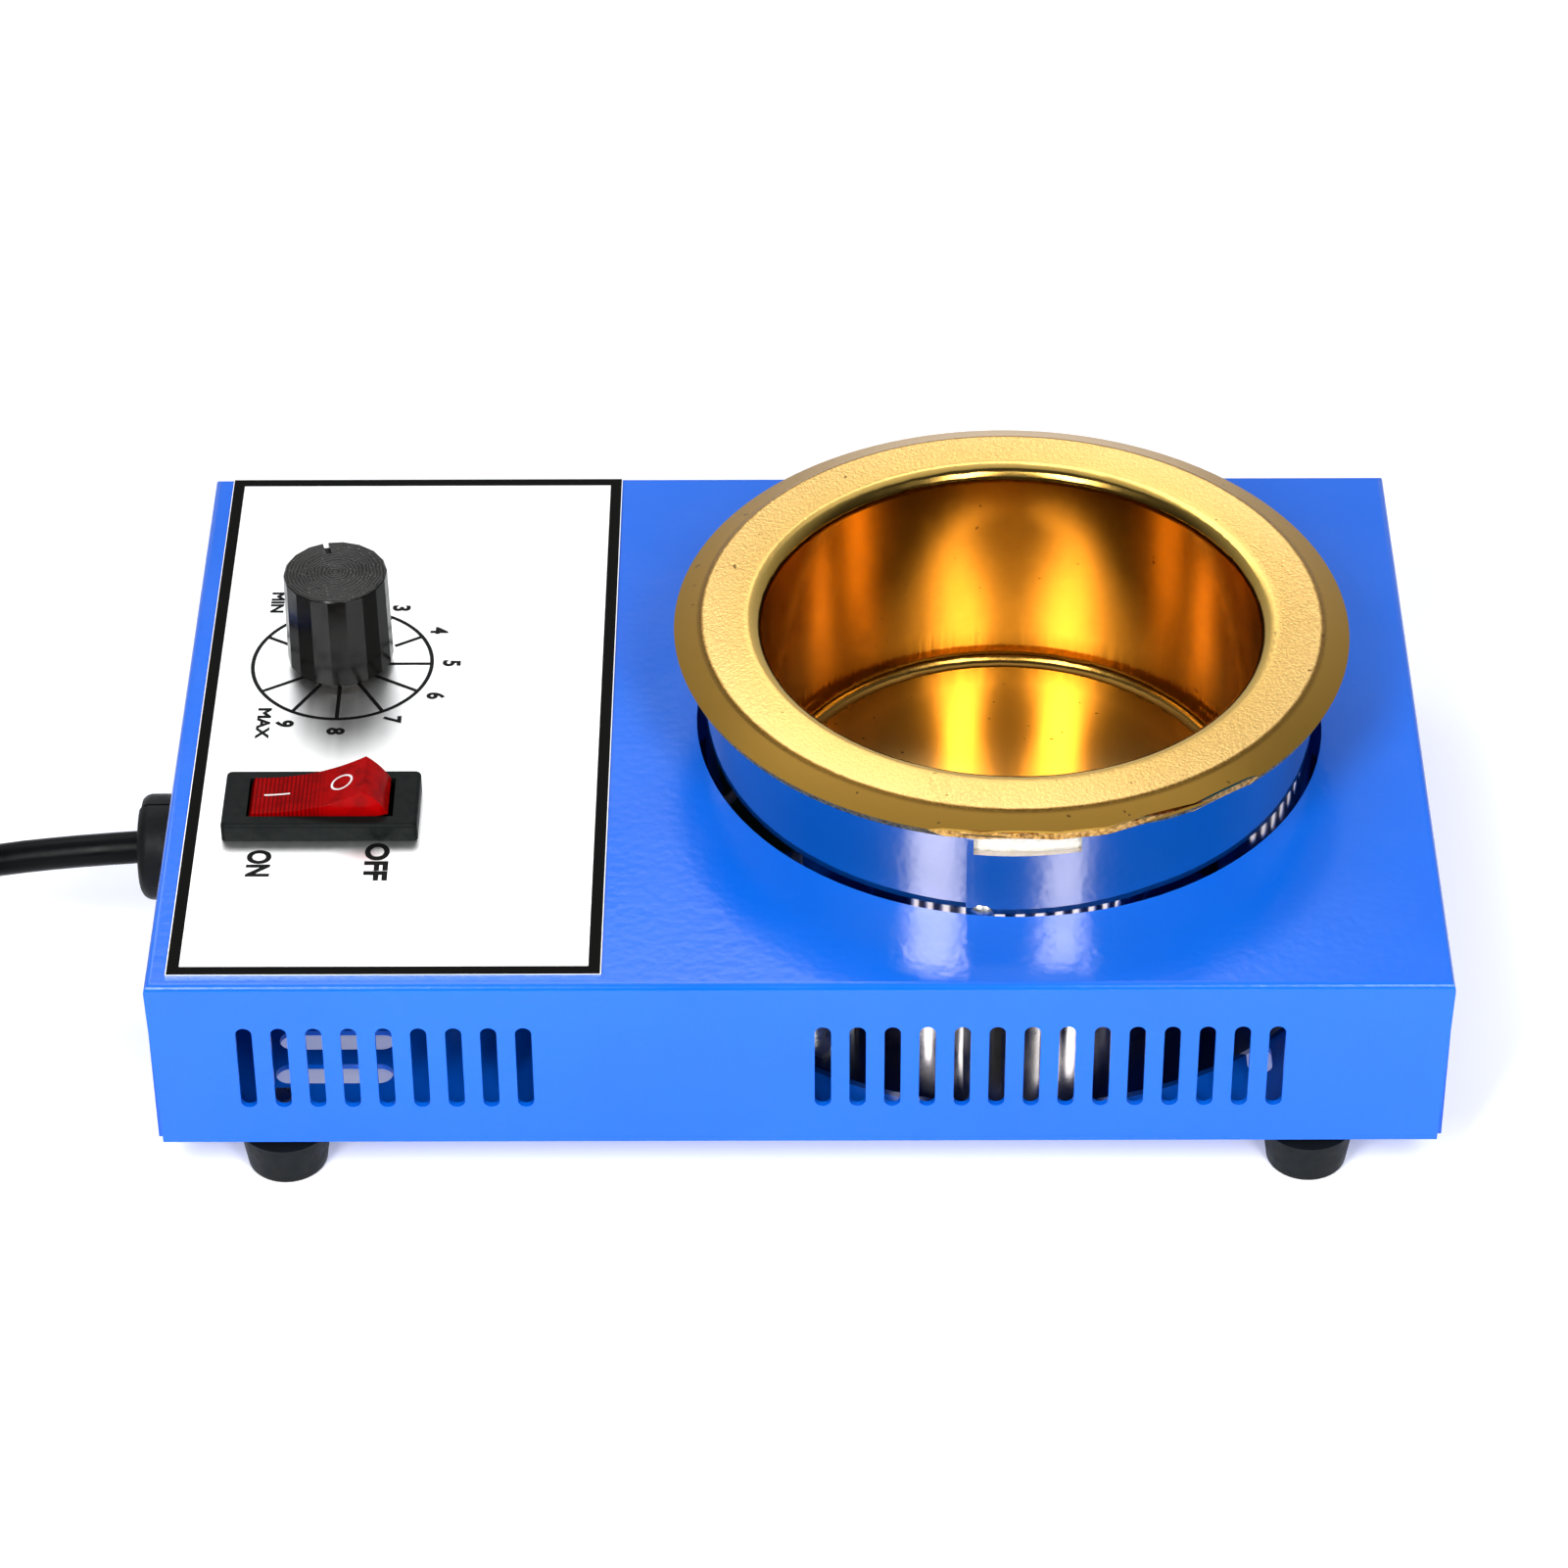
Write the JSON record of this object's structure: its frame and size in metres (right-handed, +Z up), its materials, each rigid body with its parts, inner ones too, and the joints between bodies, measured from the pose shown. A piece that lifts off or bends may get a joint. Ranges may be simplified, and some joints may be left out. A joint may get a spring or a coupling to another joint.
{
  "type": "solder pot",
  "caption": "Solder pot with a round gold bath in a mirror collar, a blue slotted sheet housing, a dimmer knob and a red rocker switch.",
  "frame": {"origin": "middle of the housing's width and depth, on the table under its feet", "axes": "+Z up, -Y towards the front with the slots and the seam of the collar, +X towards the bath"},
  "size_m": [0.3345, 0.135, 0.0618],
  "materials": {
    "blue_steel": "gloss",
    "plate_metal": "gloss",
    "rubber_black": "matte",
    "zinc_steel": "satin",
    "gold_metal": "satin",
    "mirror_steel": "polished",
    "rivet_steel": "polished",
    "heater_metal": "satin",
    "mineral_wool": "matte",
    "switch_black": "satin",
    "brass_parts": "satin",
    "rocker_red": "gloss",
    "control_black": "matte",
    "knob_black": "satin",
    "board_green": "satin",
    "nylon_white": "matte",
    "sink_aluminium": "satin",
    "package_black": "matte",
    "capacitor_yellow": "satin",
    "resistor_tan": "satin",
    "block_green": "matte",
    "lead_white": "matte",
    "lead_blue": "matte",
    "cord_black": "matte"
  },
  "bodies": {
    "housing": {"bath_stud": "zinc_steel", "board_standoffs": "nylon_white", "bottom_plate": "blue_steel", "bracket_nuts": "zinc_steel", "bracket_screws": "zinc_steel", "capacitor": "capacitor_yellow", "circuit_board": "board_green", "collar": "mirror_steel", "collar_brackets": "zinc_steel", "control_body": "control_black", "control_bushing": "brass_parts", "control_leads": "lead_blue", "control_lugs": "brass_parts", "control_nut": "brass_parts", "control_washer": "zinc_steel", "cord_coil": "cord_black", "cord_gland": "cord_black", "cord_run": "cord_black", "cord_tail": "cord_black", "cover_screws": "zinc_steel", "earth_tag": "blue_steel", "faceplate": "plate_metal", "foot_front_left": "rubber_black", "foot_front_right": "rubber_black", "foot_nuts": "zinc_steel", "foot_rear_left": "rubber_black", "foot_rear_right": "rubber_black", "foot_screws": "zinc_steel", "gland_lock": "cord_black", "heat_shield": "zinc_steel", "heat_sink": "sink_aluminium", "heater_band": "heater_metal", "heater_leads": "lead_white", "heater_strap": "zinc_steel", "mains_leads": "lead_blue", "plug_body": "cord_black", "plug_pins": "brass_parts", "plug_relief": "cord_black", "resistors": "resistor_tan", "seam_rivets": "rivet_steel", "solder_bath": "gold_metal", "strap_screw": "zinc_steel", "stud_nut": "zinc_steel", "switch_body": "switch_black", "switch_terminals": "brass_parts", "terminal_block": "block_green", "top_cover": "blue_steel", "triac": "package_black", "wool_pad": "mineral_wool", "wool_sleeve": "mineral_wool"},
    "knob": {"knob": "knob_black", "control_shaft": "zinc_steel"},
    "rocker": {"rocker": "rocker_red"}
  },
  "joints": [
    {"name": "knob_turn", "type": "hinge", "parent": "housing", "child": "knob", "pos_m": [-0.0752, 0.0143, 0.0482], "axis": [0, 0, 1], "range_deg": [-255, 45]},
    {"name": "rocker_tilt", "type": "hinge", "parent": "housing", "child": "rocker", "pos_m": [-0.0756, -0.0253, 0.04], "axis": [0, 1, 0], "range_deg": [0, 27.4]}
  ]
}
